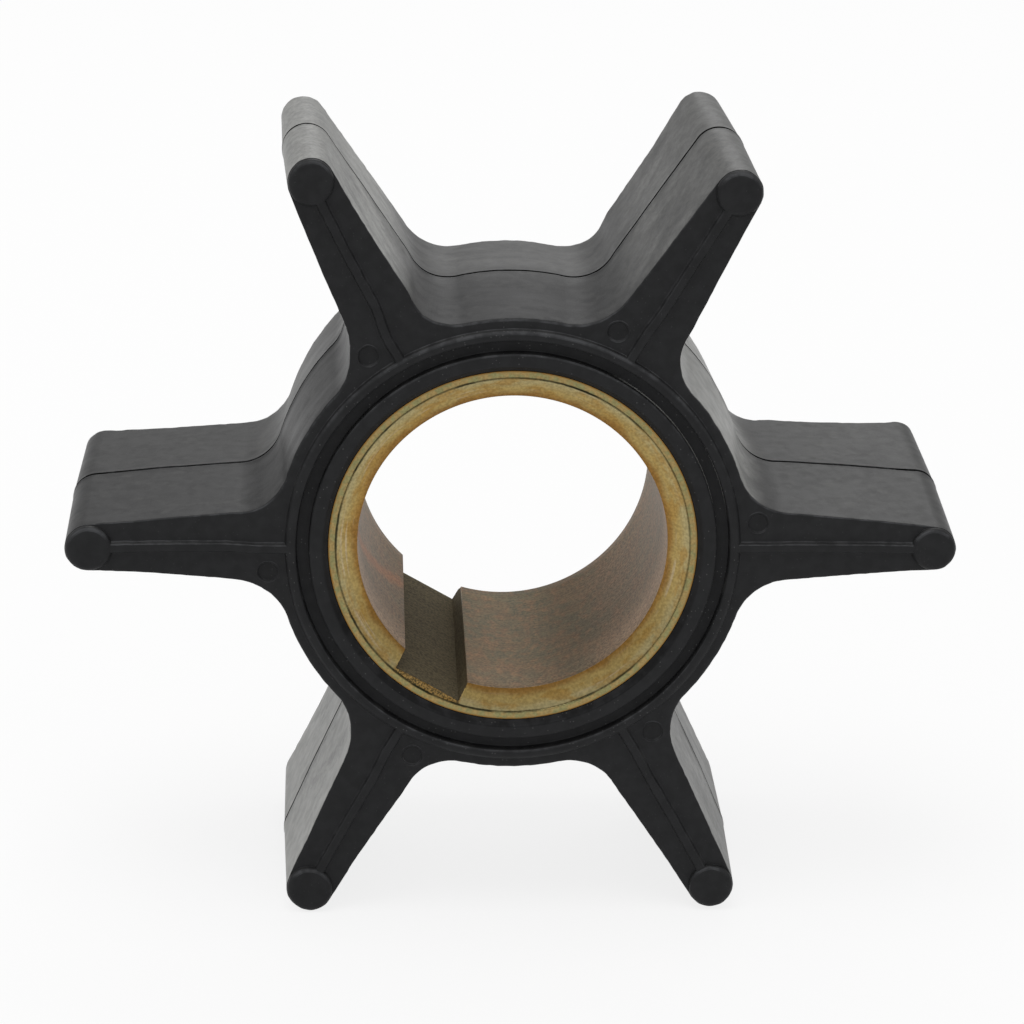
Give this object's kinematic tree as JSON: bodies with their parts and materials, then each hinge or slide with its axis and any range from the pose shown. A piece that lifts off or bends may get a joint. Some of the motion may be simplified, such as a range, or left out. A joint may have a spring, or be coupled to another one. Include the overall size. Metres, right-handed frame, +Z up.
{
  "type": "pump impeller",
  "caption": "Flexible rubber pump impeller with tapered radial vanes, raised sealing ribs and discs, and a keyed brass hub insert.",
  "frame": {"origin": "on the shaft axis, midway through the width of the impeller", "axes": "+Y along the shaft bore, from the front face to the rear; +X to the right seen from the front; +Z up, with the impeller standing on the tips of its two lower vanes"},
  "size_m": [0.0666, 0.023, 0.0582],
  "materials": {
    "rubber": "matt moulded black rubber",
    "brass": "turned, slightly tarnished"
  },
  "bodies": {
    "root": {"rubber_impeller": "rubber", "brass_hub": "brass"}
  },
  "joints": []
}
